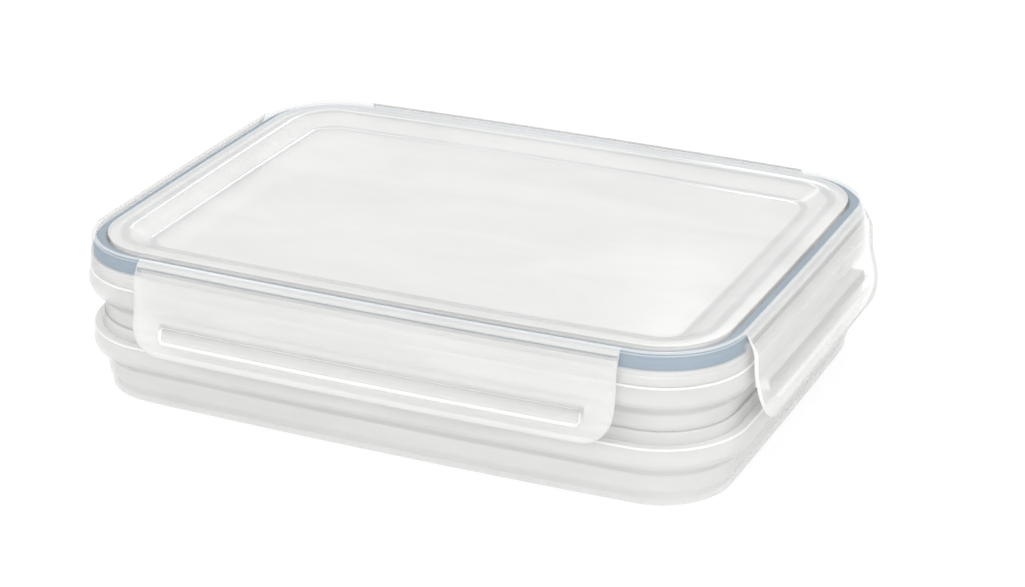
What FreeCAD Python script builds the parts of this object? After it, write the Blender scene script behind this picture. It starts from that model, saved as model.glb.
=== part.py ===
import FreeCAD, Part
import math
import os
import Sketcher

# A flat, rectangular snap-lock food container: two equal shallow trays nested one on the other, one lid with
# a seal ring in it, and four long latches that hang on the lid's edges and hook under the upper tray's rim.
# Millimetres, +Z up, origin at the middle of the footprint, +X along the long side.
#
# Every outline is the seal line, a rounded rectangle with slightly bowed sides, moved outwards or inwards.
# A section is drawn as (distance outwards from the seal line, height) and swept round it.

SIZES = {
    # seal line
    "half_length": 125.7,
    "half_width": 90.4,
    "corner_radius": 27.5,
    "long_side_arc": 3000.0,
    "short_side_arc": 5400.0,
    # tray, heights from its own floor
    "skin": 1.2,
    "foot_inset": 1.2,
    "foot_height": 3.0,
    "neck_out": 1.1,
    "neck_start": 6.2,
    "neck_end": 12.3,
    "belt_out": 6.1,
    "ledge_out": 5.6,
    "ledge_height": 24.9,
    "lip_out": 2.1,
    "lip_height": 29.5,
    "seat_depth": 0.3,
    "floor_margin": 6.0,
    # lid and seal ring
    "lid_skin": 1.3,
    "lid_gap": 0.3,
    "skirt_out": 5.3,
    "skirt_height": 3.0,
    "groove_depth": 0.6,
    "groove_height": 0.5,
    "cheek_inset": 1.0,
    "crest_rise": 7.6,
    "crest_in": 7.6,
    "panel_in": 18.6,
    "panel_drop": 4.8,
    "panel_margin": 2.5,
    "rib_in": 2.3,
    "rib_skin": 1.3,
    "rib_play": 0.1,
    "seal_play": 0.1,
    # latches, drops counted from the lid's top
    "hinge_gap": 0.6,
    "hinge_drop": 0.7,
    "hinge_web": 0.6,
    "latch_skin": 1.4,
    "latch_shoulder_out": 9.0,
    "latch_shoulder_drop": 6.2,
    "latch_belt_out": 9.3,
    "latch_belt_drop": 15.5,
    "latch_toe_out": 12.9,
    "latch_toe_drop": 29.5,
    "latch_foot_drop": 34.0,
    "latch_corner": 12.0,
    "long_latch_half": 95.0,
    "short_latch_half": 64.4,
    "catch_inset": 11.0,
    "catch_tip_out": 4.2,
    "catch_gap": 0.6,
    "catch_thickness": 3.6,
    "catch_nose": 1.0,
    "trim_margin": 5.0,
}

document = FreeCAD.newDocument("food_container")
sheet = document.addObject("Spreadsheet::Sheet", "sizes")
for row, (alias, number) in enumerate(SIZES.items(), start=1):
    sheet.set(f"A{row}", alias)
    sheet.set(f"B{row}", str(number))
    sheet.setAlias(f"B{row}", alias)
document.recompute()


class Size:
    """A length together with the spreadsheet expression that gives it."""

    def __init__(self, value, text):
        self.value = value
        self.text = text

    def __add__(self, other):
        other = length(other)
        return Size(self.value + other.value, f"({self.text} + {other.text})")

    def __sub__(self, other):
        other = length(other)
        return Size(self.value - other.value, f"({self.text} - {other.text})")

    def __mul__(self, factor):
        factor = length(factor)
        return Size(self.value * factor.value, f"({self.text} * {factor.text})")

    def __truediv__(self, other):
        other = length(other)
        return Size(self.value / other.value, f"({self.text} / {other.text})")

    def __neg__(self):
        return Size(-self.value, f"(-{self.text})")

    def root(self):
        return Size(math.sqrt(self.value), f"sqrt({self.text})")


def length(number):
    return number if isinstance(number, Size) else Size(float(number), str(float(number)))


def size(alias):
    return Size(sheet.get(alias), f"sizes.{alias}")


def new_body(label):
    body = document.addObject("PartDesign::Body", label)
    body.Label = label
    return body


def new_sketch(body, name, role, height=None):
    """A sketch on one of the body's own origin planes, lifted along the plane's normal by height."""
    plane = next(part for part in body.Origin.OriginFeatures if part.Role == role)
    sketch = body.newObject("Sketcher::SketchObject", name)
    sketch.AttachmentSupport = [(plane, "")]
    sketch.MapMode = "FlatFace"
    if height is not None:
        sketch.AttachmentOffset = FreeCAD.Placement(FreeCAD.Vector(0, 0, height.value), FreeCAD.Rotation())
        sketch.setExpression("AttachmentOffset.Base.z", height.text)
    return sketch


def constrain(sketch, bindings):
    """Adds constraints given as (arguments, Size or None) and binds each Size to its constraint."""
    constraints = []
    for arguments, bound in bindings:
        values = arguments if bound is None else arguments + (bound.value,)
        constraints.append(Sketcher.Constraint(*values))
    first = len(sketch.Constraints)
    sketch.addConstraint(constraints)
    for place, (arguments, bound) in enumerate(bindings, start=first):
        if bound is not None:
            sketch.setExpression(f"Constraints[{place}]", bound.text)


def draw_outline(sketch, out):
    """The seal line moved outwards by out: bowed sides and corners as tangent arcs, from the right middle."""
    out = length(out)
    reach_x = size("short_side_arc") - size("half_length")
    reach_y = size("long_side_arc") - size("half_width")
    side_x = reach_x.value + size("half_length").value + out.value
    side_y = reach_y.value + size("half_width").value + out.value
    corner = size("corner_radius").value + out.value
    # centre of a corner arc: the short side's circle and the long side's both touch it from outside
    from_right = side_x - corner
    from_top = side_y - corner
    apart = math.hypot(reach_x.value, reach_y.value)
    along = (from_right**2 - from_top**2 + apart**2) / (2 * apart)
    aside = math.sqrt(from_right**2 - along**2)
    unit_x = reach_x.value / apart
    unit_y = -reach_y.value / apart
    corner_x = -reach_x.value + along * unit_x - aside * unit_y
    corner_y = along * unit_y + aside * unit_x
    right_turn = math.atan2(corner_y, corner_x + reach_x.value)
    top_turn = math.atan2(corner_y + reach_y.value, corner_x)

    arcs = []

    def arc(centre_x, centre_y, radius, start, end):
        circle = Part.Circle(FreeCAD.Vector(centre_x, centre_y, 0), FreeCAD.Vector(0, 0, 1), radius)
        arcs.append(Part.ArcOfCircle(circle, start, end))

    arc(-reach_x.value, 0, side_x, 0, right_turn)
    arc(corner_x, corner_y, corner, right_turn, top_turn)
    arc(0, -reach_y.value, side_y, top_turn, math.pi - top_turn)
    arc(-corner_x, corner_y, corner, math.pi - top_turn, math.pi - right_turn)
    arc(reach_x.value, 0, side_x, math.pi - right_turn, math.pi + right_turn)
    arc(-corner_x, -corner_y, corner, math.pi + right_turn, math.pi + top_turn)
    arc(0, reach_y.value, side_y, math.pi + top_turn, 2 * math.pi - top_turn)
    arc(corner_x, -corner_y, corner, 2 * math.pi - top_turn, 2 * math.pi - right_turn)
    arc(-reach_x.value, 0, side_x, 2 * math.pi - right_turn, 2 * math.pi)
    sketch.addGeometry(arcs, False)

    bindings = []
    for place in range(8):
        bindings.append((("Tangent", place, 2, place + 1, 1), None))
    bindings.append((("Coincident", 8, 2, 0, 1), None))
    bindings.append((("Coincident", 8, 3, 0, 3), None))
    bindings.append((("PointOnObject", 0, 1, -1), None))
    for place, across, reach in ((0, "X", -reach_x), (2, "Y", -reach_y), (4, "X", reach_x), (6, "Y", reach_y)):
        other = {"X": "Y", "Y": "X"}[across]
        bindings.append(((f"Distance{across}", -1, 1, place, 3), reach))
        bindings.append(((f"Distance{other}", -1, 1, place, 3), length(0)))
    for place in (0, 4):
        bindings.append((("Radius", place), size("short_side_arc") + out))
    for place in (2, 6):
        bindings.append((("Radius", place), size("long_side_arc") + out))
    for place in (1, 3, 5, 7):
        bindings.append((("Radius", place), size("corner_radius") + out))
    constrain(sketch, bindings)


def rounded_corner(before, point, after, radius):
    """Tangent points and arc of a corner of two straight lines."""
    to_before = (before - point).normalize()
    to_after = (after - point).normalize()
    half = to_before.getAngle(to_after) / 2
    reach = radius / math.tan(half)
    middle = (to_before + to_after).normalize()
    centre = point + middle * (radius / math.sin(half))
    start = point + to_before * reach
    end = point + to_after * reach
    return start, centre - middle * radius, end


def polygon_ends(points, radii):
    """For each corner the start, middle and end of its rounding, or the corner alone where it is sharp."""
    ends = []
    for place, (point, radius) in enumerate(zip(points, radii)):
        if radius > 0:
            after = points[(place + 1) % len(points)]
            ends.append(rounded_corner(points[place - 1], point, after, radius))
        else:
            ends.append((point, None, point))
    return ends


def draw_section(sketch, corners, origin=None):
    """A closed loop through (out, height) or (out, height, round) corners, bound to the spreadsheet."""
    origin = length(0) if origin is None else origin
    places = []
    for out, height, *rounding in corners:
        radius = length(rounding[0]) if rounding else length(0)
        places.append((origin + out, length(height), radius))
    points = [FreeCAD.Vector(out.value, height.value, 0) for out, height, radius in places]
    ends = polygon_ends(points, [radius.value for out, height, radius in places])
    count = len(points)
    base = len(sketch.Geometry)
    shapes = [Part.LineSegment(ends[place][2], ends[(place + 1) % count][0]) for place in range(count)]
    bindings = []
    for place, (out, height, radius) in enumerate(places):
        before = base + (place - 1) % count
        after = base + place
        if radius.value > 0:
            arc = base + len(shapes)
            start, middle, end = ends[place]
            leftward = (middle - start).cross(end - middle).z > 0
            shapes.append(Part.Arc(start, middle, end) if leftward else Part.Arc(end, middle, start))
            first, last = (1, 2) if leftward else (2, 1)
            corner = base + len(shapes)
            shapes.append(Part.Point(points[place]))
            bindings.append((("Tangent", before, 2, arc, first), None))
            bindings.append((("Tangent", after, 1, arc, last), None))
            bindings.append((("Radius", arc), radius))
            bindings.append((("PointOnObject", corner, 1, before), None))
            bindings.append((("PointOnObject", corner, 1, after), None))
        else:
            corner = after
            bindings.append((("Coincident", before, 2, after, 1), None))
        bindings.append((("DistanceX", -1, 1, corner, 1), out))
        bindings.append((("DistanceY", -1, 1, corner, 1), height))
    sketch.addGeometry(shapes, False)
    for place, shape in enumerate(shapes, start=base):
        if isinstance(shape, Part.Point):
            sketch.setConstruction(place, True)
    constrain(sketch, bindings)


def sweep_round(body, name, section):
    """The section swept all round the seal line."""
    line = new_sketch(body, f"{name}_line", "XY_Plane")
    draw_outline(line, 0)
    pipe = body.newObject("PartDesign::AdditivePipe", name)
    pipe.Profile = section
    pipe.Spine = (line, [])
    pipe.Mode = "Frenet"
    return pipe


def fill_inside(body, name, out, bottom, thickness):
    """A flat plate inside the seal line moved by out."""
    outline = new_sketch(body, f"{name}_outline", "XY_Plane", bottom)
    draw_outline(outline, out)
    plate = body.newObject("PartDesign::Pad", name)
    plate.Profile = outline
    plate.setExpression("Length", thickness.text)
    return plate


skin = size("skin")
half_length = size("half_length")

# The shoulder of one tray wedges on the inner edge of the lip below it, which sets the pitch of the stack.
lip_in = size("lip_out") - skin
shoulder_lean = (size("neck_start") - size("foot_height")) / (size("neck_out") + size("foot_inset"))
seat_height = size("foot_height") + (lip_in + size("foot_inset")) * shoulder_lean
pitch = size("lip_height") - size("seat_depth") - seat_height
ledge_top = pitch + size("ledge_height")
lip_top = pitch + size("lip_height")
flare_end = size("neck_end") + size("belt_out") - size("neck_out")

lid_top = lip_top + size("crest_rise")
lid_under = lid_top - size("lid_skin")
panel_top = lid_top - size("panel_drop")
cheek_out = size("skirt_out") - size("cheek_inset")
channel_out = size("skirt_out") - size("lid_skin")
channel_in = size("rib_skin") - size("rib_in")


def slanted_inset(run, rise):
    """How far a corner of the inner face lies from its outer corner, for each millimetre of wall."""
    slope = (run * run + rise * rise).root()
    return (slope - run) / rise


def make_tray(label, lift):
    """One tray: floor, stepped foot, neck, flared belt, ledge and upstanding lip, all of one skin."""
    body = new_body(label)
    section = new_sketch(body, "wall_section", "XZ_Plane")
    floor_edge = -size("foot_inset") - size("floor_margin")
    flare_inset = skin * (math.sqrt(2) - 1)
    corners = [
        (floor_edge, 0),
        (-size("foot_inset"), 0),
        (-size("foot_inset"), size("foot_height")),
        (size("neck_out"), size("neck_start")),
        (size("neck_out"), size("neck_end")),
        (size("belt_out"), flare_end),
        (size("ledge_out"), size("ledge_height")),
        (size("lip_out"), size("ledge_height")),
        (size("lip_out"), size("lip_height")),
        (lip_in + size("seat_depth") / shoulder_lean, size("lip_height")),
        (lip_in, size("lip_height") - size("seat_depth")),
        (lip_in, size("ledge_height") - skin),
        (size("ledge_out") - skin, size("ledge_height") - skin),
        (size("belt_out") - skin, flare_end + flare_inset),
        (size("neck_out") - skin, size("neck_end") + flare_inset),
        (-size("foot_inset") - skin, skin),
        (floor_edge, skin),
    ]
    draw_section(section, corners, half_length)
    sweep_round(body, "wall", section)
    fill_inside(body, "floor", floor_edge, length(0), skin)
    body.setExpression("Placement.Base.z", lift.text)
    return body


def make_lid():
    """The lid: recessed panel, bevel, broad crest, skirt, and the rib that closes the seal's channel."""
    body = new_body("lid")
    section = new_sketch(body, "rim_section", "XZ_Plane")
    lid_skin = size("lid_skin")
    panel_edge = -size("panel_in") - size("panel_margin")
    bevel_inset = slanted_inset(size("panel_in") - size("crest_in"), size("panel_drop")) * lid_skin
    skirt_bottom = ledge_top + size("lid_gap")
    groove_bottom = skirt_bottom + size("skirt_height")
    groove_top = groove_bottom + size("groove_height")
    rib_bottom = lip_top - size("rib_play")
    corners = [
        (panel_edge, panel_top),
        (-size("panel_in"), panel_top),
        (-size("crest_in"), lid_top),
        (cheek_out, lid_top),
        (size("skirt_out") - size("groove_depth"), groove_top),
        (size("skirt_out"), groove_bottom),
        (size("skirt_out"), skirt_bottom),
        (channel_out, skirt_bottom),
        (channel_out, lid_under),
        (channel_in, lid_under),
        (channel_in, rib_bottom),
        (-size("rib_in"), rib_bottom),
        (-size("rib_in"), lid_under),
        (bevel_inset - size("crest_in"), lid_under),
        (bevel_inset - size("panel_in"), panel_top - lid_skin),
        (panel_edge, panel_top - lid_skin),
    ]
    draw_section(section, corners, half_length)
    sweep_round(body, "rim", section)
    fill_inside(body, "panel", panel_edge, panel_top - lid_skin, lid_skin)
    return body


def make_gasket():
    """The seal ring, which fills the lid's channel and stands on the upper tray's lip."""
    body = new_body("gasket")
    section = new_sketch(body, "ring_section", "XZ_Plane")
    inner = channel_in + size("seal_play")
    outer = channel_out - size("seal_play")
    corners = [
        (inner, lip_top),
        (outer, lip_top),
        (outer, lid_under),
        (inner, lid_under),
    ]
    draw_section(section, corners, half_length)
    sweep_round(body, "ring", section)
    return body


def bow_round(body, name, section, span, arc, half):
    """The section turned about the side's own centre of curvature, to half each way from the middle."""
    axis_x = span - arc
    line = len(section.Geometry)
    section.addGeometry(
        Part.LineSegment(FreeCAD.Vector(axis_x.value, 0, 0), FreeCAD.Vector(axis_x.value, 1, 0)), True
    )
    constrain(section, [
        (("Vertical", line), None),
        (("DistanceX", -1, 1, line, 1), axis_x),
        (("DistanceY", -1, 1, line, 1), length(0)),
        (("DistanceY", line, 1, line, 2), length(1)),
    ])
    turn = body.newObject("PartDesign::Revolution", name)
    turn.Profile = section
    turn.ReferenceAxis = (section, ["Axis0"])
    turn.Midplane = True
    reach = half / arc
    turn.setExpression("Angle", f"2 * asin({reach.text})")
    return turn


def trim_outline(body, name, half, bottom, top):
    """Cuts away everything outside the latch's outline, seen square on, with its two lower corners rounded."""
    outline = new_sketch(body, f"{name}_outline", "YZ_Plane")
    margin = size("trim_margin")
    draw_section(outline, [
        (-half - margin, bottom - margin),
        (half + margin, bottom - margin),
        (half + margin, top + margin),
        (-half - margin, top + margin),
    ])
    draw_section(outline, [
        (-half, bottom, size("latch_corner")),
        (half, bottom, size("latch_corner")),
        (half, top),
        (-half, top),
    ])
    cut = body.newObject("PartDesign::Pocket", name)
    cut.Profile = outline
    cut.Type = "ThroughAll"
    cut.Reversed = True
    return cut


def make_latch(label, span, arc, half, quarter_turns):
    """A latch, drawn on the right side and turned to its own: film-hinge neck, bowed plate, toe and catch."""
    body = new_body(label)
    hinge_out = cheek_out + size("hinge_gap")
    hinge_height = lid_top - size("hinge_drop")
    shoulder = lid_top - size("latch_shoulder_drop")
    belt = lid_top - size("latch_belt_drop")
    toe = lid_top - size("latch_toe_drop")
    foot = lid_top - size("latch_foot_drop")
    latch_skin = size("latch_skin")

    catch_top = pitch + size("neck_end") + size("catch_tip_out") + size("catch_nose") - size("neck_out")
    catch_top = catch_top - size("catch_gap")
    catch_bottom = catch_top - size("catch_thickness")
    toe_mid = size("latch_toe_out") - latch_skin / 2
    belt_mid = size("latch_belt_out") - latch_skin / 2
    plate_lean = (toe_mid - belt_mid) / (belt - toe)
    root_top_out = belt_mid + (belt - catch_top) * plate_lean
    root_bottom_out = belt_mid + (belt - catch_bottom) * plate_lean
    arm = new_sketch(body, "catch_section", "XZ_Plane")
    draw_section(arm, [
        (size("catch_tip_out"), catch_bottom),
        (root_bottom_out, catch_bottom),
        (root_top_out, catch_top),
        (size("catch_tip_out") + size("catch_nose"), catch_top),
        (size("catch_tip_out"), catch_top - size("catch_nose")),
    ], span)
    bow_round(body, "catch", arm, span, arc, half - size("catch_inset"))

    plate = new_sketch(body, "plate_section", "XZ_Plane")
    draw_section(plate, [
        (hinge_out, hinge_height),
        (hinge_out + size("hinge_web"), hinge_height),
        (size("latch_shoulder_out"), shoulder),
        (size("latch_belt_out"), belt),
        (size("latch_toe_out"), toe),
        (size("latch_toe_out"), foot),
        (size("latch_toe_out") - latch_skin, foot),
        (size("latch_toe_out") - latch_skin, toe),
        (size("latch_belt_out") - latch_skin, belt),
        (size("latch_shoulder_out") - latch_skin, shoulder),
    ], span)
    bow_round(body, "plate", plate, span, arc, half + size("trim_margin") / 2)
    trim_outline(body, "plate_trim", half, foot, hinge_height)

    turn = FreeCAD.Rotation(FreeCAD.Vector(0, 0, 1), 90 * quarter_turns)
    body.Placement = FreeCAD.Placement(FreeCAD.Vector(0, 0, 0), turn)
    return body


half_width = size("half_width")
long_arc = size("long_side_arc")
short_arc = size("short_side_arc")
bodies = [
    make_tray("lower_tray", length(0)),
    make_tray("upper_tray", pitch),
    make_lid(),
    make_gasket(),
    make_latch("latch_right", half_length, short_arc, size("short_latch_half"), 0),
    make_latch("latch_back", half_width, long_arc, size("long_latch_half"), 1),
    make_latch("latch_left", half_length, short_arc, size("short_latch_half"), 2),
    make_latch("latch_front", half_width, long_arc, size("long_latch_half"), 3),
]
document.recompute()

for item in document.Objects:
    if "Invalid" in item.State or "Error" in item.State:
        raise RuntimeError(f"{item.Label} did not build: {item.getStatusString()}")
for body in bodies:
    if body.Shape.isNull() or not body.Shape.isValid() or len(body.Shape.Solids) != 1:
        raise RuntimeError(f"{body.Label} is not one valid solid")

os.makedirs("parts", exist_ok=True)
for body in bodies:
    body.Shape.exportStep(f"parts/{body.Label}.step")
    print(body.Label, round(body.Shape.Volume), "mm3")
print("pitch", round(pitch.value, 3), "lip top", round(lip_top.value, 3), "lid top", round(lid_top.value, 3))
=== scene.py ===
import math

import bmesh
import bpy
from mathutils import Matrix, Vector


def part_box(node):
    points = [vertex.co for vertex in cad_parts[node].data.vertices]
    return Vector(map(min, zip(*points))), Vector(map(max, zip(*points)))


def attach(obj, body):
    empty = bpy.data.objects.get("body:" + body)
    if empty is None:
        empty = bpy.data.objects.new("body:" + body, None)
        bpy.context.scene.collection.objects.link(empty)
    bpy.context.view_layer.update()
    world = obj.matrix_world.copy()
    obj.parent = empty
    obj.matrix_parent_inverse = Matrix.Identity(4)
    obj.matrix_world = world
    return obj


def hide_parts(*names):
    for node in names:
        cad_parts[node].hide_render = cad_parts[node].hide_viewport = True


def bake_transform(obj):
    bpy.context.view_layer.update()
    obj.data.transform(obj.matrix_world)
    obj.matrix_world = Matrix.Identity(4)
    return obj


# Empty snap-lock food storage container: two equal trays, one lid with a silicone seal, four latches.
# Profiles are (out, height, rounding) in millimetres, out being the distance outwards from the seal line.

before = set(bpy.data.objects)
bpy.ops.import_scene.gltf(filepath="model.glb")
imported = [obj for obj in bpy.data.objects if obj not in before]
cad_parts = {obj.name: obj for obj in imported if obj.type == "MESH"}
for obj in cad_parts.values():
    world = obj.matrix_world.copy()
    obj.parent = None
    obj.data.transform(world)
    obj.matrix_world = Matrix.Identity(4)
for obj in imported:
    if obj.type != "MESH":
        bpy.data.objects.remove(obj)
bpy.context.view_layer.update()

mm = 0.001
weldWithin = 0.002 * mm     # vertices closer than this are one
nearPoint = 0.01 * mm       # picks a vertex by its place
nearHeight = 0.02 * mm      # picks an edge by its height
roundSteps = 4              # segments in each rounding of a profile
latchHalf = {"long": 95, "short": 64.4}
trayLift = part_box("upper_tray")[0].z
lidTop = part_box("lid")[1].z / mm


# Small helpers

def toObjectMode():
    if bpy.context.mode != "OBJECT":
        bpy.ops.object.mode_set(mode="OBJECT")


def pickNothing():
    toObjectMode()
    bpy.ops.object.select_all(action="DESELECT")


def pickOnly(piece):
    pickNothing()
    piece.select_set(True)
    bpy.context.view_layer.objects.active = piece


def editAll(piece):
    pickOnly(piece)
    bpy.ops.object.mode_set(mode="EDIT")
    bpy.ops.mesh.select_mode(type="VERT")
    bpy.ops.mesh.select_all(action="SELECT")


def pickVerts(piece, wanted):
    # in edit mode: only the vertices for which wanted(place) is true
    bpy.ops.mesh.select_all(action="DESELECT")
    shape = bmesh.from_edit_mesh(piece.data)
    for vert in shape.verts:
        vert.select = wanted(vert.co)
    shape.select_flush(True)
    bmesh.update_edit_mesh(piece.data)


def pickEdges(piece, wanted):
    # in edit mode: only the edges for which wanted(edge) is true
    bpy.ops.mesh.select_all(action="DESELECT")
    bpy.ops.mesh.select_mode(type="EDGE")
    shape = bmesh.from_edit_mesh(piece.data)
    for edge in shape.edges:
        edge.select = wanted(edge)
    bmesh.update_edit_mesh(piece.data)


def applyModifier(piece, kind, **settings):
    pickOnly(piece)
    modifier = piece.modifiers.new(kind.title(), kind)
    for name, value in settings.items():
        setattr(modifier, name, value)
    bpy.ops.object.modifier_apply(modifier=modifier.name)


def faceOutwards(piece):
    editAll(piece)
    bpy.ops.mesh.remove_doubles(threshold=weldWithin)
    bpy.ops.mesh.normals_make_consistent(inside=False)
    toObjectMode()


def smoothFinish(piece, angle=38):
    pickOnly(piece)
    bpy.ops.object.shade_smooth_by_angle(angle=math.radians(angle))
    applyModifier(piece, "WEIGHTED_NORMAL", keep_sharp=True, weight=60)


# Seal line: a rounded rectangle with slightly bowed sides, as arcs that meet tangent

sealLine = {
    "halfLength": 125.7,
    "halfWidth": 90.4,
    "cornerRadius": 27.5,
    "longSideArc": 3000,
    "shortSideArc": 5400,
    "sideSteps": 20,
    "cornerSteps": 16,
}


def sealArcs():
    # centres of the right side, the back corner and the back side, and the turns where they meet
    reachX = sealLine["shortSideArc"] - sealLine["halfLength"]
    reachY = sealLine["longSideArc"] - sealLine["halfWidth"]
    toRight = sealLine["shortSideArc"] - sealLine["cornerRadius"]
    toBack = sealLine["longSideArc"] - sealLine["cornerRadius"]
    apart = math.hypot(reachX, reachY)
    along = (toRight ** 2 - toBack ** 2 + apart ** 2) / (2 * apart)
    aside = math.sqrt(toRight ** 2 - along ** 2)
    unitX, unitY = reachX / apart, -reachY / apart
    corner = Vector((along * unitX - aside * unitY - reachX, along * unitY + aside * unitX, 0))
    rightTurn = math.atan2(corner.y, corner.x + reachX)
    backTurn = math.atan2(corner.y + reachY, corner.x)
    return Vector((-reachX, 0, 0)) * mm, corner * mm, Vector((0, -reachY, 0)) * mm, rightTurn, backTurn


rightCentre, cornerCentre, backCentre, rightTurn, backTurn = sealArcs()


def towardsShortSide(place):
    return place.x * sealLine["halfWidth"] - place.y * sealLine["halfLength"]


def outFromSealLine(place):
    # how far a point lies outwards from the seal line
    spot = Vector((abs(place.x), abs(place.y), 0))
    if spot.x > cornerCentre.x and spot.y > cornerCentre.y:
        return (spot - cornerCentre).length - sealLine["cornerRadius"] * mm
    if towardsShortSide(spot) > towardsShortSide(cornerCentre):
        return (spot - rightCentre).length - sealLine["shortSideArc"] * mm
    return (spot - backCentre).length - sealLine["longSideArc"] * mm


def drawProfile(name, corners, span, closed):
    # a vertex extruded from corner to corner in the XZ plane, then rounded
    pickNothing()
    bpy.ops.mesh.primitive_plane_add(size=mm, location=(0, 0, 0))
    piece = bpy.context.object
    piece.name = name
    piece.data.name = name
    editAll(piece)
    bpy.ops.mesh.merge(type="CENTER")
    places = [Vector((span + out, 0, height)) * mm for out, height, rounding in corners]
    bpy.ops.transform.translate(value=places[0])
    for before, after in zip(places, places[1:] + places[:1] * closed):
        bpy.ops.mesh.extrude_vertices_move(TRANSFORM_OT_translate={"value": after - before})
    bpy.ops.mesh.select_all(action="SELECT")
    bpy.ops.mesh.remove_doubles(threshold=weldWithin)
    for place, (out, height, rounding) in zip(places, corners):
        if rounding:
            pickVerts(piece, lambda co: (co - place).length < nearPoint)
            bpy.ops.mesh.bevel(offset=rounding * mm, segments=roundSteps, affect="VERTICES")
    bpy.ops.mesh.select_all(action="SELECT")
    return piece


def sweepRound(piece):
    # a quarter of the way round, side, corner and side, then mirrored twice
    for centre, turn, steps in (
        (rightCentre, rightTurn, sealLine["sideSteps"]),
        (cornerCentre, backTurn - rightTurn, sealLine["cornerSteps"]),
        (backCentre, math.pi / 2 - backTurn, sealLine["sideSteps"]),
    ):
        bpy.ops.mesh.spin(steps=steps, angle=-turn, center=centre, axis=(0, 0, 1))
    applyModifier(piece, "MIRROR", use_axis=(True, True, False), merge_threshold=nearPoint)


def closeSheet(piece, height):
    # fills the open inner edge at that height with one flat face
    editAll(piece)
    pickEdges(piece, lambda edge: edge.is_boundary
              and all(abs(vert.co.z - height * mm) < nearHeight for vert in edge.verts))
    bpy.ops.mesh.edge_face_add()
    toObjectMode()


# Materials

def linearColour(text):
    channels = [int(text[place:place + 2], 16) / 255 for place in (1, 3, 5)]
    return [c / 12.92 if c <= 0.04045 else ((c + 0.055) / 1.055) ** 2.4 for c in channels] + [1.0]


def addNode(material, kind, settings, links=None):
    node = material.node_tree.nodes.new(kind)
    for name, value in settings.items():
        if isinstance(name, str) and hasattr(node, name):
            setattr(node, name, value)
        else:
            node.inputs[name].default_value = value
    for name, source in (links or {}).items():
        material.node_tree.links.new(source, node.inputs[name])
    return node


def newMaterial(name):
    material = bpy.data.materials.new(name)
    material.use_nodes = True
    material.node_tree.nodes.clear()
    return material


# Natural polypropylene, injection moulded against a satin tool: milky, soft gloss, veils what is behind it.
# Faint flow streaks run with the fill, and the tool's fine texture breaks up the reflections.
polypropyleneLook = {
    "wall": ("#E8E8E6", "#F1F1F0"),     # duller and paler streaks of the trays' and latches' walls
    "edge": ("#E2E2E0", "#E9E9E7"),     # the same, darker: painted shade where a wall is seen edge on
    "crease": ("#CDCFCF", "#D8D9D9"),   # the same, darker still: painted shade where the lid's top bends
    "panel": ("#F3F3F1", "#FAFAF9"),    # the same, paler: painted light on the lid's flat top, its crest, the latches and the film hinges
    "ior": 1.49,
    "roughness": (0.13, 0.2),
    "flowMm": 60,                       # length of a flow streak
    "flowSquash": (1.0, 2.5, 6.0),      # how much narrower a streak is along each axis
    "flowContrast": (0.3, 0.7),
    "textureMm": 1.2,                   # real tool texture is nearer 0.1 mm, drawn coarser so that it shows
    "textureHeightMm": 0.2,
    "textureStrength": 0.05,
}


def makePolypropylene(name, tone, veil, gloss):
    # veil: how much one face of a wall hides of what is behind it, more where the wall is thick
    look = polypropyleneLook
    material = newMaterial(name)
    place = addNode(material, "ShaderNodeTexCoord", {})
    squash = addNode(material, "ShaderNodeMapping", {"Scale": look["flowSquash"]},
                     {"Vector": place.outputs["Object"]})
    flow = addNode(material, "ShaderNodeTexNoise",
                   {"Scale": 1 / (look["flowMm"] * mm), "Detail": 3.0, "Roughness": 0.55, "Distortion": 0.6},
                   {"Vector": squash.outputs["Vector"]})
    faint, full = look["flowContrast"]
    milk = addNode(material, "ShaderNodeMapRange", {"From Min": faint, "From Max": full},
                   {"Value": flow.outputs["Fac"]})
    colour = addNode(material, "ShaderNodeMix",
                     {"data_type": "RGBA", 6: linearColour(look[tone][0]), 7: linearColour(look[tone][1])},
                     {0: milk.outputs["Result"]})
    haze = addNode(material, "ShaderNodeMapRange",
                   {"From Min": faint, "From Max": full, "To Min": look["roughness"][0],
                    "To Max": look["roughness"][1]},
                   {"Value": flow.outputs["Fac"]})
    grain = addNode(material, "ShaderNodeTexNoise", {"Scale": 1 / (look["textureMm"] * mm), "Detail": 2.0},
                    {"Vector": place.outputs["Object"]})
    bump = addNode(material, "ShaderNodeBump",
                   {"Strength": look["textureStrength"], "Distance": look["textureHeightMm"] * mm},
                   {"Height": grain.outputs["Fac"]})
    plastic = addNode(material, "ShaderNodeBsdfPrincipled",
                      {"IOR": look["ior"], "Specular IOR Level": gloss, "Alpha": veil},
                      {"Base Color": colour.outputs[2], "Roughness": haze.outputs["Result"],
                       "Normal": bump.outputs["Normal"]})
    addNode(material, "ShaderNodeOutputMaterial", {}, {"Surface": plastic.outputs["BSDF"]})
    return material


# Blue-grey silicone, compression moulded: matt, slightly soft skin with a fine bloom, no gloss of its own.
siliconeLook = {
    "body": "#63829A",
    "bloom": "#6F8DA4",
    "ior": 1.41,
    "roughness": 0.55,
    "bloomMm": 9,       # width of a patch of bloom
    "skinHeightMm": 0.1,
    "skinStrength": 0.15,
}


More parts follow.
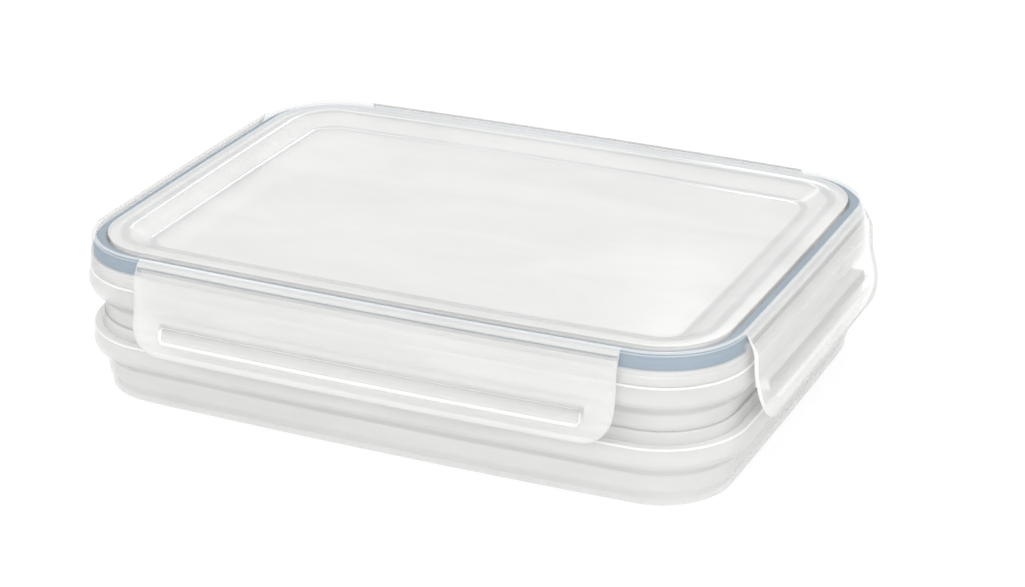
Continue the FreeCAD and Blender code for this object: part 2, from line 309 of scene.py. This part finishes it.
def makeSilicone():
    look = siliconeLook
    material = newMaterial("blue-grey silicone")
    place = addNode(material, "ShaderNodeTexCoord", {})
    bloom = addNode(material, "ShaderNodeTexNoise", {"Scale": 1 / (look["bloomMm"] * mm), "Detail": 4.0},
                    {"Vector": place.outputs["Object"]})
    colour = addNode(material, "ShaderNodeMix",
                     {"data_type": "RGBA", 6: linearColour(look["body"]), 7: linearColour(look["bloom"])},
                     {0: bloom.outputs["Fac"]})
    skin = addNode(material, "ShaderNodeBump",
                   {"Strength": look["skinStrength"], "Distance": look["skinHeightMm"] * mm},
                   {"Height": bloom.outputs["Fac"]})
    rubber = addNode(material, "ShaderNodeBsdfPrincipled",
                     {"IOR": look["ior"], "Roughness": look["roughness"]},
                     {"Base Color": colour.outputs[2], "Normal": skin.outputs["Normal"]})
    addNode(material, "ShaderNodeOutputMaterial", {}, {"Surface": rubber.outputs["BSDF"]})
    return material


trayPlastic = makePolypropylene("natural polypropylene, tray wall", "wall", veil=0.5, gloss=1.0)
edgeShadePlastic = makePolypropylene("natural polypropylene, seen edge on, painted shade", "edge", veil=0.97, gloss=0.3)
# the 'panel' tone, paler than the walls', is painted light on the lid's top and crest, the latches and the
# film hinges
litPanelPlastic = makePolypropylene("natural polypropylene, lid panel, painted paler", "panel", veil=0.6, gloss=0.5)
litCrestPlastic = makePolypropylene("natural polypropylene, lid crest, painted paler", "panel", veil=0.5, gloss=0.8)
creaseShadePlastic = makePolypropylene("natural polypropylene, lid crease, painted shade", "crease", veil=0.8, gloss=0.5)
thinPlastic = makePolypropylene("natural polypropylene, thin and clear", "wall", veil=0.15, gloss=0.8)
litLatchPlastic = makePolypropylene("natural polypropylene, latch, painted paler", "panel", veil=0.36, gloss=1.0)
silicone = makeSilicone()


def markFaces(piece, material, wanted):
    # gives the material to the faces for which wanted(out, height, face) is true, in millimetres
    piece.data.materials.append(material)
    for face in piece.data.polygons:
        if wanted(outFromSealLine(face.center) / mm, face.center.z / mm, face):
            face.material_index = len(piece.data.materials) - 1


def finishPiece(piece, body, slotName, *nodes):
    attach(piece, body)
    if nodes:
        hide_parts(*nodes)


# Trays: modelled once, the upper one is a lifted copy

tray = {
    "skin": 1.2,
    "floorEdge": -12,           # the flat floor begins here
    "foot": (-0.3, 3.0),        # out, height
    "shoulder": (0.3, 4.7),
    "neck": (1.0, 6.2, 12.2),   # out, height of its foot and of its head
    "belt": (6.1, 17.3),
    "ledge": (5.6, 24.9),
    "lip": (2.1, 29.5),
    "edge": (0.8, 0.02),        # the band under the ledge that is seen edge on and painted with shade: height, lean outwards
    "edgeFromLip": 1.0,
    "slack": 0.05,              # allowed for when faces are picked by their height
}


def makeTray():
    skin = tray["skin"]
    footOut, footTop = tray["foot"]
    neckOut, neckLow, neckHigh = tray["neck"]
    beltOut, beltLow = tray["belt"]
    ledgeOut, ledgeHigh = tray["ledge"]
    lipOut, lipHigh = tray["lip"]
    edgeHigh, edgeLean = tray["edge"]
    piece = drawProfile("lowerTray", [
        (tray["floorEdge"], 0, 0),
        (footOut, 0, 0.7),
        (footOut, footTop, 0.5),
        (*tray["shoulder"], 0.9),
        (neckOut, neckLow, 0.9),
        (neckOut, neckHigh, 0.8),
        (beltOut, beltLow, 1.6),
        (ledgeOut + edgeLean, ledgeHigh - edgeHigh, 0),
        (ledgeOut, ledgeHigh, 0.5),
        (lipOut, ledgeHigh, 0.4),
        (lipOut, lipHigh, 0.5),
        (lipOut - skin, lipHigh, 0.45),
        (lipOut - skin, ledgeHigh - skin, 0.5),
        (ledgeOut - skin, ledgeHigh - skin, 0.5),
        (beltOut - skin, beltLow + 0.5, 1.4),
        (neckOut - skin, neckHigh + 0.5, 1.0),
        (neckOut - skin, neckLow + 0.2, 0.8),
        (footOut - 0.2, footTop + 0.6, 0.6),
        (footOut - skin, skin, 1.0),
        (tray["floorEdge"], skin, 0),
    ], sealLine["halfLength"], False)
    sweepRound(piece)
    closeSheet(piece, 0)
    closeSheet(piece, skin)
    faceOutwards(piece)
    smoothFinish(piece)
    piece.data.materials.append(trayPlastic)
    # the ledge is seen edge on, through more plastic than the wall, so it is opaquer, and its darker tone is
    # painted shade
    markFaces(piece, edgeShadePlastic, lambda out, height, face: out > lipOut + tray["edgeFromLip"]
              and ledgeHigh - edgeHigh < height < ledgeHigh + tray["slack"])
    return piece


lowerTray = makeTray()
pickOnly(lowerTray)
bpy.ops.object.duplicate(linked=False)
upperTray = bpy.context.object
upperTray.name = upperTray.data.name = "upperTray"
upperTray.data.transform(Matrix.Translation((0, 0, trayLift)))
finishPiece(lowerTray, "container", "polypropylene", "lower_tray")
finishPiece(upperTray, "container", "polypropylene", "upper_tray")
print("trays made")


# Lid: recessed panel, bevel, broad crest, cheek with a groove, skirt, seal channel

lid = {
    "flatFrom": 24,             # how far in the panel is one flat face
    "panelIn": 18.6,            # how far in the bevel meets the panel, and how far down
    "panelDrop": 4.8,
    "crestIn": 7.6,
    "cheek": (4.35, 5.1, 7.8),  # out at the top, out at the groove, groove's drop from the top
    "skirtOut": 5.3,
    "skirtDrops": (8.9, 12.1),
    "skin": 1.3,
    "rib": (1.0, 2.3, 7.7),     # in of its two faces, drop of its lower edge
    "overRidge": (1.6, 2.7),    # in and out of the clear stretch over the seal's ridge
    "crease": (0.93, 0.997),    # how far upwards the roundings at the foot and the head of the bevel face, which are painted with shade
    "topBand": 2.0,             # the crest's faces lie within this of the top
    "wallOut": 2.0,             # the cheek and the skirt lie further out than this
    "cheekOut": 3.4,            # and the cheek's outer faces further out than this
    "upright": 0.7,             # and their normals rise or fall by less than this
    "clearLow": 6.5,            # drop to which the cheek is clear, and the same behind a latch
    "clearBehindLatch": 3.6,
    "shortOfLatch": 1.0,        # the cheek counts as behind a latch up to this far from the latch's own ends
}


def cheekAt(drop):
    cheekTop, cheekLow, grooveDrop = lid["cheek"]
    return cheekTop + (cheekLow - cheekTop) * drop / grooveDrop


def behindLatch(place):
    # short of the latch's own ends, which hide where the clear cheek begins
    long, short = ((half - lid["shortOfLatch"]) * mm for half in (latchHalf["long"], latchHalf["short"]))
    return abs(place.x) < long or abs(place.y) < short


def makeLid():
    skin = lid["skin"]
    panel = lidTop - lid["panelDrop"]
    cheekTop, cheekLow, grooveDrop = lid["cheek"]
    skirtTop, skirtLow = (lidTop - drop for drop in lid["skirtDrops"])
    ribNear, ribFar, ribDrop = lid["rib"]
    under = lidTop - skin
    piece = drawProfile("lidShell", [
        (-lid["flatFrom"], panel, 0),
        (-lid["panelIn"], panel, 1.8),
        (-lid["crestIn"], lidTop, 2.4),
        (-lid["overRidge"][0], lidTop, 0),
        (lid["overRidge"][1], lidTop, 0),
        (cheekTop, lidTop, 1.3),
        (cheekAt(lid["clearBehindLatch"]), lidTop - lid["clearBehindLatch"], 0),
        (cheekAt(lid["clearLow"]), lidTop - lid["clearLow"], 0),
        (cheekLow, lidTop - grooveDrop, 0.25),
        (cheekLow - 0.15, lidTop - grooveDrop - 0.6, 0.15),
        (lid["skirtOut"], skirtTop, 0.3),
        (lid["skirtOut"], skirtLow, 0.3),
        (lid["skirtOut"] - skin, skirtLow, 0.3),
        (lid["skirtOut"] - skin, lidTop - lid["clearLow"], 0),
        (lid["skirtOut"] - skin, lidTop - lid["clearBehindLatch"], 0),
        (lid["skirtOut"] - skin, under, 0.6),
        (-ribNear, under, 0.3),
        (-ribNear, lidTop - ribDrop, 0.3),
        (-ribFar, lidTop - ribDrop, 0.3),
        (-ribFar, under, 0.5),
        (-lid["crestIn"] - 0.3, under, 1.3),
        (-lid["panelIn"] - 0.3, panel - skin, 1.8),
        (-lid["flatFrom"], panel - skin, 0),
    ], sealLine["halfLength"], False)
    sweepRound(piece)
    closeSheet(piece, panel)
    closeSheet(piece, panel - skin)
    faceOutwards(piece)
    smoothFinish(piece)
    return piece


lidShell = makeLid()
# the lid's top gets the paler tone, painted light
lidShell.data.materials.append(litPanelPlastic)
topBand = lidTop - lid["topBand"]
ridgeIn, ridgeOut = lid["overRidge"]
markFaces(lidShell, trayPlastic, lambda out, height, face: out > lid["wallOut"] and height < topBand)
# the bevel's two roundings are veiled more, being seen through slantwise, and painted darker as shade in the
# lid's crease
markFaces(lidShell, creaseShadePlastic, lambda out, height, face: out < -lid["crestIn"] / 2
          and lid["crease"][0] < face.normal.z < lid["crease"][1])
# the crest is clear where the seal's ridge presses on it, and so is the cheek beside the seal, less far down
# behind a latch
markFaces(lidShell, litCrestPlastic, lambda out, height, face: out > ridgeOut and height > topBand)
markFaces(lidShell, thinPlastic, lambda out, height, face: -ridgeIn < out < ridgeOut and height > topBand)
markFaces(lidShell, thinPlastic, lambda out, height, face: out > lid["cheekOut"]
          and abs(face.normal.z) < lid["upright"]
          and height > lidTop - lid["clearBehindLatch" if behindLatch(face.center) else "clearLow"])
finishPiece(lidShell, "container", "polypropylene", "lid")
print("lid made")


# Seal: fills the lid's channel, with a narrow ridge on top and a sloped outer shoulder

seal = {
    "inner": -0.9,
    "outer": 3.9,
    "ridge": (-0.9, 1.9),       # out of its two edges
    "ridgeDrop": 1.35,
    "shoulderDrop": 3.3,
    "lowDrop": 7.6,
}


def makeSeal():
    high, shoulder, low = (lidTop - seal[key] for key in ("ridgeDrop", "shoulderDrop", "lowDrop"))
    piece = drawProfile("sealRing", [
        (seal["inner"], low, 0.2),
        (seal["outer"], low, 0.2),
        (seal["outer"], shoulder, 0.5),
        (seal["ridge"][1], high, 0.4),
        (seal["ridge"][0], high, 0.3),
        (seal["inner"], shoulder, 0.3),
    ], sealLine["halfLength"], True)
    sweepRound(piece)
    faceOutwards(piece)
    smoothFinish(piece)
    return piece


sealRing = makeSeal()
sealRing.data.materials.append(silicone)
finishPiece(sealRing, "container", "silicone", "gasket")
print("seal made")


# Latches: bowed plate with a rounded shoulder and toe, an oblong groove, and a catch behind

latch = {
    "skin": 1.4,
    "hinge": (4.9, 5.5, 0.75),      # out of its two edges, drop from the lid's top
    "web": (2.0, 3.4),              # drops between which the plate is thin and clear
    "shoulder": (9.0, 6.2),         # out, drop
    "belt": (9.3, 15.5),
    "toe": (12.9, 29.5),
    "footDrop": 34.0,
    "corner": 12,
    "overrun": 2,                   # the plate is swept this far past its ends, which are then cut round
    "block": (40, 5, 5),            # what cuts them: its depth, out of its middle, its height above the lid
    "catch": (4.2, 21.3, 24.9),     # out of its tip, drops of its upper and lower face
    "catchInset": 11,
    "groove": (21.9, 28.3, 1.0, 0.9),   # drops of its upper and lower edge, depth, width of its sloped sides
    "grooveInset": 13.4,
    "grooveClear": 0.5,             # the groove's cutter stands this far out of the plate
    "grooveEnd": ((0.9, 0.9), (0.9, 0.75), (0.6, 0.5)),     # its rounded end: steps outwards and shrinkages
    "endFocus": 0.3,                # the end shrinks towards a point this far out of the plate
    "endSlant": 0.4,                # and its face lies within this of its furthest point
    "plateSteps": 14,               # facets of the bowed plate, and of the catch and the groove
    "catchSteps": 10,
    "cornerSteps": 10,
    "smoothBelow": 32,              # degrees between faces that are shaded as one
    "rising": 0.2,                  # the outer face above the shoulder points upwards by more than this
    "edgeTurn": (0.3, 0.85),        # a face this far off its outward direction is seen edge on and painted with shade: plate, groove
    "slack": 0.15,
}


def spinBothWays(piece, span, arc, half, steps):
    # turned back by half the reach first, so that it ends up centred on the side
    centre = Vector((span - arc, 0, 0)) * mm
    reach = math.asin(half / arc)
    toObjectMode()
    turnBack = Matrix.Rotation(-reach, 4, "Z")
    piece.data.transform(Matrix.Translation(centre) @ turnBack @ Matrix.Translation(-centre))
    editAll(piece)
    bpy.ops.mesh.spin(steps=steps, angle=-2 * reach, center=centre, axis=(0, 0, 1))
    faceOutwards(piece)


def capEnds(piece, half):
    # each open end, past the middle of its own half, gets one flat face
    editAll(piece)
    for side in (-1, 1):
        pickEdges(piece, lambda edge: edge.is_boundary
                  and all(vert.co.y * side > half * mm / 2 for vert in edge.verts))
        bpy.ops.mesh.edge_face_add()
    toObjectMode()
    faceOutwards(piece)


def outAt(drop):
    # the plate's outer face at that drop, between belt and toe
    (beltOut, beltDrop), (toeOut, toeDrop) = latch["belt"], latch["toe"]
    return beltOut + (toeOut - beltOut) * (drop - beltDrop) / (toeDrop - beltDrop)


def slopeOut(drop):
    # the plate's outer face at that drop, between hinge and shoulder
    shoulderOut, shoulderDrop = latch["shoulder"]
    hingeOut, hingeDrop = latch["hinge"][1:]
    return hingeOut + (shoulderOut - hingeOut) * (drop - hingeDrop) / (shoulderDrop - hingeDrop)


def makeLatch(name, span, arc, half):
    skin = latch["skin"]
    innerHinge, outerHinge, hingeDrop = latch["hinge"]
    shoulderOut, shoulderDrop = latch["shoulder"]
    beltOut, beltDrop = latch["belt"]
    toeOut, toeDrop = latch["toe"]
    webTop, webLow = latch["web"]
    plate = drawProfile(name, [
        (innerHinge, lidTop - hingeDrop, 0),
        (outerHinge, lidTop - hingeDrop, 0.2),
        (slopeOut(webTop), lidTop - webTop, 0),
        (slopeOut(webLow), lidTop - webLow, 0),
        (shoulderOut, lidTop - shoulderDrop, 1.8),
        (beltOut, lidTop - beltDrop, 3.0),
        (toeOut, lidTop - toeDrop, 2.2),
        (toeOut, lidTop - latch["footDrop"], 0.5),
        (toeOut - skin, lidTop - latch["footDrop"], 0.4),
        (toeOut - skin, lidTop - toeDrop, 2.0),
        (beltOut - skin, lidTop - beltDrop, 3.0),
        (shoulderOut - skin, lidTop - shoulderDrop - 0.6, 1.6),
    ], span, True)
    spinBothWays(plate, span, arc, half + latch["overrun"], latch["plateSteps"])
    capEnds(plate, half)

    # the outline, seen square on, is cut with a block whose two lower corners are rounded
    bpy.ops.mesh.primitive_cube_add(size=1)
    block = bpy.context.object
    deep, middleOut, above = latch["block"]
    low, high = lidTop - latch["footDrop"], lidTop + above
    middleHeight = (low + high) / 2
    block.data.transform(Matrix.Diagonal((deep * mm, 2 * half * mm, (high - low) * mm, 1)))
    block.data.transform(Matrix.Translation(Vector((span + middleOut, 0, middleHeight)) * mm))
    editAll(block)
    pickEdges(block, lambda edge: all(vert.co.z < middleHeight * mm for vert in edge.verts)
              and abs(edge.verts[0].co.y - edge.verts[1].co.y) < nearPoint)
    bpy.ops.mesh.bevel(offset=latch["corner"] * mm, segments=latch["cornerSteps"], affect="EDGES")
    toObjectMode()
    applyModifier(plate, "BOOLEAN", operation="INTERSECT", solver="EXACT", object=block)
    bpy.data.objects.remove(block)

    # catch: a shelf from the plate inwards, under the tray's flare
    tip, catchTop, catchLow = latch["catch"]
    shelf = drawProfile(name + "Catch", [
        (tip, lidTop - catchLow, 0.4),
        (outAt(catchLow) - skin / 2, lidTop - catchLow, 0),
        (outAt(catchTop) - skin / 2, lidTop - catchTop, 0),
        (tip, lidTop - catchTop, 0.9),
    ], span, True)
    spinBothWays(shelf, span, arc, half - latch["catchInset"], latch["catchSteps"])
    capEnds(shelf, half)

    # groove: a long oblong hollow in the outer face that cores out the catch, with sloped sides and ends
    grooveTop, grooveLow, depth, slope = latch["groove"]
    clear = latch["grooveClear"]
    cutter = drawProfile(name + "Groove", [
        (outAt(grooveTop) + clear, lidTop - grooveTop + slope / 2, 0),
        (outAt(grooveTop) - depth, lidTop - grooveTop - slope, 0.6),
        (outAt(grooveLow) - depth, lidTop - grooveLow + slope, 0.6),
        (outAt(grooveLow) + clear, lidTop - grooveLow - slope / 2, 0),
    ], span, True)
    spinBothWays(cutter, span, arc, half - latch["grooveInset"], latch["catchSteps"])
    capEnds(cutter, half)
    grooveMiddle = (grooveTop + grooveLow) / 2
    for side in (-1, 1):
        for reach, shrink in latch["grooveEnd"]:
            editAll(cutter)
            farEnd = max(vert.co.y * side for vert in cutter.data.vertices)
            pickVerts(cutter, lambda co: co.y * side > farEnd - latch["endSlant"] * mm)
            bpy.ops.mesh.extrude_region_move(TRANSFORM_OT_translate={"value": (0, side * reach * mm, 0)})
            focus = Vector(((span + outAt(grooveMiddle) + latch["endFocus"]) * mm,
                            side * (farEnd + reach * mm), (lidTop - grooveMiddle) * mm))
            bpy.ops.transform.resize(value=(shrink, 1, shrink), center_override=focus)
            toObjectMode()

    applyModifier(plate, "BOOLEAN", operation="UNION", solver="EXACT", object=shelf)
    applyModifier(plate, "BOOLEAN", operation="DIFFERENCE", solver="EXACT", object=cutter)
    bpy.data.objects.remove(shelf)
    bpy.data.objects.remove(cutter)
    faceOutwards(plate)
    return plate


def turnCopy(piece, name, quarters):
    pickOnly(piece)
    bpy.ops.object.duplicate(linked=False)
    copy = bpy.context.object
    copy.name = copy.data.name = name
    copy.data.transform(Matrix.Rotation(math.pi / 2 * quarters, 4, "Z"))
    return copy


def inWeb(out, height, face):
    # the thin stretch of the plate below its hinge, outside, and all of its inner face as far as the shoulder
    webTop, webLow = (lidTop - drop for drop in latch["web"])
    if face.normal.z > latch["rising"]:
        return webLow < height < webTop
    return height > lidTop - latch["shoulder"][1]


def seenEdgeOn(out, height, face, outward):
    # the slopes of the groove, the plate's own edges and the catch behind it, which are painted with shade
    grooveTop, grooveLow, depth, slope = latch["groove"]
    drop = lidTop - height
    inGroove = (grooveTop - slope < drop < grooveLow + slope
                and out > outAt(drop) - depth - latch["slack"])
    return drop > latch["shoulder"][1] and abs(face.normal.dot(outward)) < latch["edgeTurn"][inGroove]


shortLatch = makeLatch("shortLatch", sealLine["halfLength"], sealLine["shortSideArc"], latchHalf["short"])
longLatch = makeLatch("longLatch", sealLine["halfWidth"], sealLine["longSideArc"], latchHalf["long"])
for piece in (shortLatch, longLatch):
    smoothFinish(piece, latch["smoothBelow"])
    piece.data.materials.append(litLatchPlastic)
print("latches made")


# Film hinges: a thin web over the gap between the lid's crest and each latch

filmHinge = {
    "upper": [(3.2, 0, 0), (4.5, 0.28, 0.3), (5.45, 0.85, 0.2), (6.1, 1.75, 0)],    # out, drop, rounding
    "under": [(5.8, 1.95, 0), (5.2, 1.15, 0.2), (4.4, 0.75, 0.2), (3.2, 0.2, 0)],
    "leavesLid": 0.6,       # drops between which it bends
    "joinsLatch": 1.5,
    "endGap": 0.3,
}


def makeFilm(name, span, arc, half):
    outline = filmHinge["upper"] + filmHinge["under"]
    film = drawProfile(name, [(out, lidTop - drop, rounding) for out, drop, rounding in outline], span, True)
    spinBothWays(film, span, arc, half - filmHinge["endGap"], latch["plateSteps"])
    capEnds(film, half)
    smoothFinish(film)
    film.data.materials.append(litLatchPlastic)
    return film


shortFilm = makeFilm("shortFilm", sealLine["halfLength"], sealLine["shortSideArc"], latchHalf["short"])
longFilm = makeFilm("longFilm", sealLine["halfWidth"], sealLine["longSideArc"], latchHalf["long"])

for side, quarters, latchMaster, filmMaster in (
    ("right", 0, shortLatch, shortFilm),
    ("back", 1, longLatch, longFilm),
    ("left", 2, shortLatch, shortFilm),
    ("front", 3, longLatch, longFilm),
):
    clip = turnCopy(latchMaster, side + "Latch", quarters)
    markFaces(clip, thinPlastic, inWeb)
    outward = Matrix.Rotation(math.pi / 2 * quarters, 3, "Z") @ Vector((1, 0, 0))
    markFaces(clip, edgeShadePlastic, lambda out, height, face: seenEdgeOn(out, height, face, outward))
    finishPiece(clip, side, "polypropylene", "latch_" + side)
    film = turnCopy(filmMaster, side + "Film", quarters)
    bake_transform(film)
for master in (shortLatch, longLatch, shortFilm, longFilm):
    bpy.data.objects.remove(master)
print("film hinges made")


# Floor and world: as white as a lit backdrop where the camera looks, plain diffuse light for the object

studio = {
    "floorSize": 12,            # metres
    "floorDropMm": 0.2,
    "floorTone": "#FCFCFC",
    "white": "#FFFFFF",
    "floorShare": 0.82,         # how much of the floor is seen as plain white, the rest keeps the shadow
    "floorGlow": 1.04,
    "worldLight": 0.99,
    "worldSeen": 1.0,
}


def whereSeen(material):
    # 1 for the camera, also by way of gloss or through clear plastic, and 0 for the light on the object
    rays = addNode(material, "ShaderNodeLightPath", {})
    seen = addNode(material, "ShaderNodeMath", {"operation": "MAXIMUM"},
                   {0: rays.outputs["Is Camera Ray"], 1: rays.outputs["Is Glossy Ray"]})
    through = addNode(material, "ShaderNodeMath", {"operation": "MAXIMUM"},
                      {0: seen.outputs["Value"], 1: rays.outputs["Is Transmission Ray"]})
    return through.outputs["Value"]


def makeFloor():
    pickNothing()
    bpy.ops.mesh.primitive_plane_add(size=studio["floorSize"], location=(0, 0, -studio["floorDropMm"] * mm))
    ground = bpy.context.object
    ground.name = "paleFloor"
    paint = newMaterial("pale studio floor")
    share = addNode(paint, "ShaderNodeMath", {"operation": "MULTIPLY", 1: studio["floorShare"]},
                    {0: whereSeen(paint)})
    matt = addNode(paint, "ShaderNodeBsdfDiffuse", {"Color": linearColour(studio["floorTone"])})
    glow = addNode(paint, "ShaderNodeEmission",
                   {"Color": linearColour(studio["white"]), "Strength": studio["floorGlow"]})
    both = addNode(paint, "ShaderNodeMixShader", {},
                   {0: share.outputs["Value"], 1: matt.outputs["BSDF"], 2: glow.outputs["Emission"]})
    addNode(paint, "ShaderNodeOutputMaterial", {}, {"Surface": both.outputs["Shader"]})
    ground.data.materials.append(paint)


def makeWorld():
    sky = bpy.data.worlds.new("whiteStudio")
    bpy.context.scene.world = sky
    sky.use_nodes = True
    sky.node_tree.nodes.clear()
    level = addNode(sky, "ShaderNodeMapRange",
                    {"To Min": studio["worldLight"], "To Max": studio["worldSeen"]},
                    {"Value": whereSeen(sky)})
    light = addNode(sky, "ShaderNodeBackground", {"Color": linearColour(studio["white"])},
                    {"Strength": level.outputs["Result"]})
    addNode(sky, "ShaderNodeOutputWorld", {}, {"Surface": light.outputs["Background"]})


makeFloor()
makeWorld()
print("studio made")


# Lamps: two narrow strips draw the bright lines on the lid's bevel, two soft ones fill the front and right

lamps = {    # places and sizes in metres
    "stripBehind": {"place": (-0.42, 1.35, 0.97), "size": (0.08, 0.3), "watts": 0.9},
    "stripAbove": {"place": (-0.66, 1.04, 1.16), "size": (0.85, 0.1), "watts": 1.8},
    "overFront": {"place": (0.35, -1.35, 0.85), "size": (1.3, 0.5), "watts": 7.2},
    "besideRight": {"place": (1.45, -0.55, 0.3), "size": (0.9, 0.35), "watts": 2.4},
}
for name, lamp in lamps.items():
    bpy.ops.object.light_add(type="AREA", location=lamp["place"])
    light = bpy.context.object
    light.name = name
    light.data.shape = "RECTANGLE"
    light.data.size, light.data.size_y = lamp["size"]
    light.data.energy = lamp["watts"]
    light.rotation_mode = "QUATERNION"
    light.rotation_quaternion = (-Vector(lamp["place"])).to_track_quat("-Z", "Y")
print("lamps placed")


# Camera: degrees, metres from the object's foot, and the lens in millimetres

camera = {
    "azimuth": 24.61,
    "elevation": 23.714,
    "roll": -0.219,
    "distance": 1.06166,
    "across": 0.011025,
    "up": 0.024374,
    "lens": 95.866,
    "sensor": 36,
}


def makeCamera():
    azimuth, elevation, roll = (math.radians(camera[key]) for key in ("azimuth", "elevation", "roll"))
    back = Vector((math.sin(azimuth) * math.cos(elevation), -math.cos(azimuth) * math.cos(elevation),
                   math.sin(elevation)))
    flatRight = Vector((math.cos(azimuth), math.sin(azimuth), 0))
    flatUp = back.cross(flatRight)
    right = flatRight * math.cos(roll) + flatUp * math.sin(roll)
    up = flatUp * math.cos(roll) - flatRight * math.sin(roll)
    pickNothing()
    place = back * camera["distance"] + right * camera["across"] + up * camera["up"]
    bpy.ops.object.camera_add(location=place)
    eye = bpy.context.object
    eye.name = "viewer"
    eye.rotation_mode = "QUATERNION"
    eye.rotation_quaternion = Matrix((right, up, back)).transposed().to_quaternion()
    eye.data.sensor_width = camera["sensor"]
    eye.data.lens = camera["lens"]
    bpy.context.scene.camera = eye


makeCamera()
bpy.context.scene.view_settings.view_transform = "Standard"

print("scene ready")
